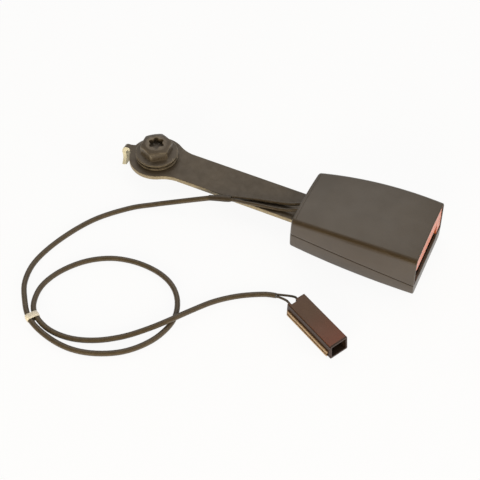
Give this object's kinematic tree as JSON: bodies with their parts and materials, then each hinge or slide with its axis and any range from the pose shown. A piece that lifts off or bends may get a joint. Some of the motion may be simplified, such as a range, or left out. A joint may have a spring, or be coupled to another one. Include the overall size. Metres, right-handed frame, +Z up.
{
  "type": "seat belt buckle",
  "caption": "Front seat belt buckle with a red release button, on a rigid stalk with an anchor bolt, a bent locating tab and a wired warning lead with its plug.",
  "frame": {"origin": "below the middle of the rigid pieces, on the surface that they lie on", "axes": "+X along the stalk from the anchor bolt to the buckle's mouth, +Z up out of the upper cover"},
  "size_m": [0.2211, 0.1823, 0.0329],
  "materials": {
    "cover_black": "fine grained moulded black",
    "guide_black": "smooth moulded black",
    "button_red": "satin red",
    "plug_brown": "brown moulded",
    "natural_plastic": "natural",
    "sleeve_pale": "pale sleeve",
    "lead_black": "soft black",
    "tape_white": "pale tape",
    "stalk_black": "black coated stamped steel",
    "bolt_black": "black oxide",
    "steel": "plated",
    "terminal_brass": "bare",
    "board_green": "circuit board"
  },
  "bodies": {
    "buckle": {"upper_cover": "cover_black", "lower_cover": "cover_black", "stalk": "stalk_black", "bolt_washer": "bolt_black", "wave_washer": "steel", "spacer_bush": "steel", "frame": "steel", "frame_rivet_rear": "steel", "frame_rivet_front": "steel", "latch_pin": "steel", "latch_spring": "steel", "ejector_spring": "steel", "tongue_guide": "guide_black", "button_spring_left": "steel", "button_spring_right": "steel", "sensor_body": "guide_black", "sensor_board": "board_green", "sensor_chip": "guide_black", "lead_crimp_far": "terminal_brass", "lead_crimp_near": "terminal_brass", "lead_sleeve_far": "lead_black", "lead_sleeve_near": "sleeve_pale", "buckle_lead_far": "lead_black", "buckle_lead_near": "lead_black", "joint_sleeve": "lead_black", "cable": "lead_black", "tie": "tape_white", "plug_wire_near": "lead_black", "plug_wire_far": "lead_black", "plug_housing": "plug_brown", "plug_terminal_near": "terminal_brass", "plug_terminal_far": "terminal_brass"},
    "button": {"release_button": "button_red", "lift_bar": "steel"},
    "latch_plate": {"latch": "steel"},
    "ejector_slider": {"ejector": "natural_plastic", "ejector_magnet": "steel"},
    "bolt": {"anchor_bolt": "bolt_black", "retaining_ring": "natural_plastic"}
  },
  "joints": [
    {"name": "button_press", "type": "slide", "parent": "buckle", "child": "button", "axis": [-1, 0, 0], "range_m": [0, 0.006], "stiffness_N_per_m": 500, "springref_m": -0.004, "deforming": ["button_spring_left", "button_spring_right"]},
    {"name": "latch_lift", "type": "hinge", "parent": "buckle", "child": "latch_plate", "pos_m": [0.05334, 0, 0.0173], "axis": [0, -1, 0], "range_deg": [0, 8], "deforming": ["latch_spring"]},
    {"name": "ejector_push", "type": "slide", "parent": "buckle", "child": "ejector_slider", "axis": [-1, 0, 0], "range_m": [0, 0.014], "stiffness_N_per_m": 150, "springref_m": -0.01, "deforming": ["ejector_spring"]},
    {"name": "bolt_turn", "type": "hinge", "parent": "buckle", "child": "bolt", "pos_m": [-0.08206, 0, 0.0154], "axis": [0, 0, 1], "continuous": true}
  ],
  "couplings": [
    {"joint": "latch_lift", "follows": "button_press", "rad_per_m": 23.2}
  ]
}
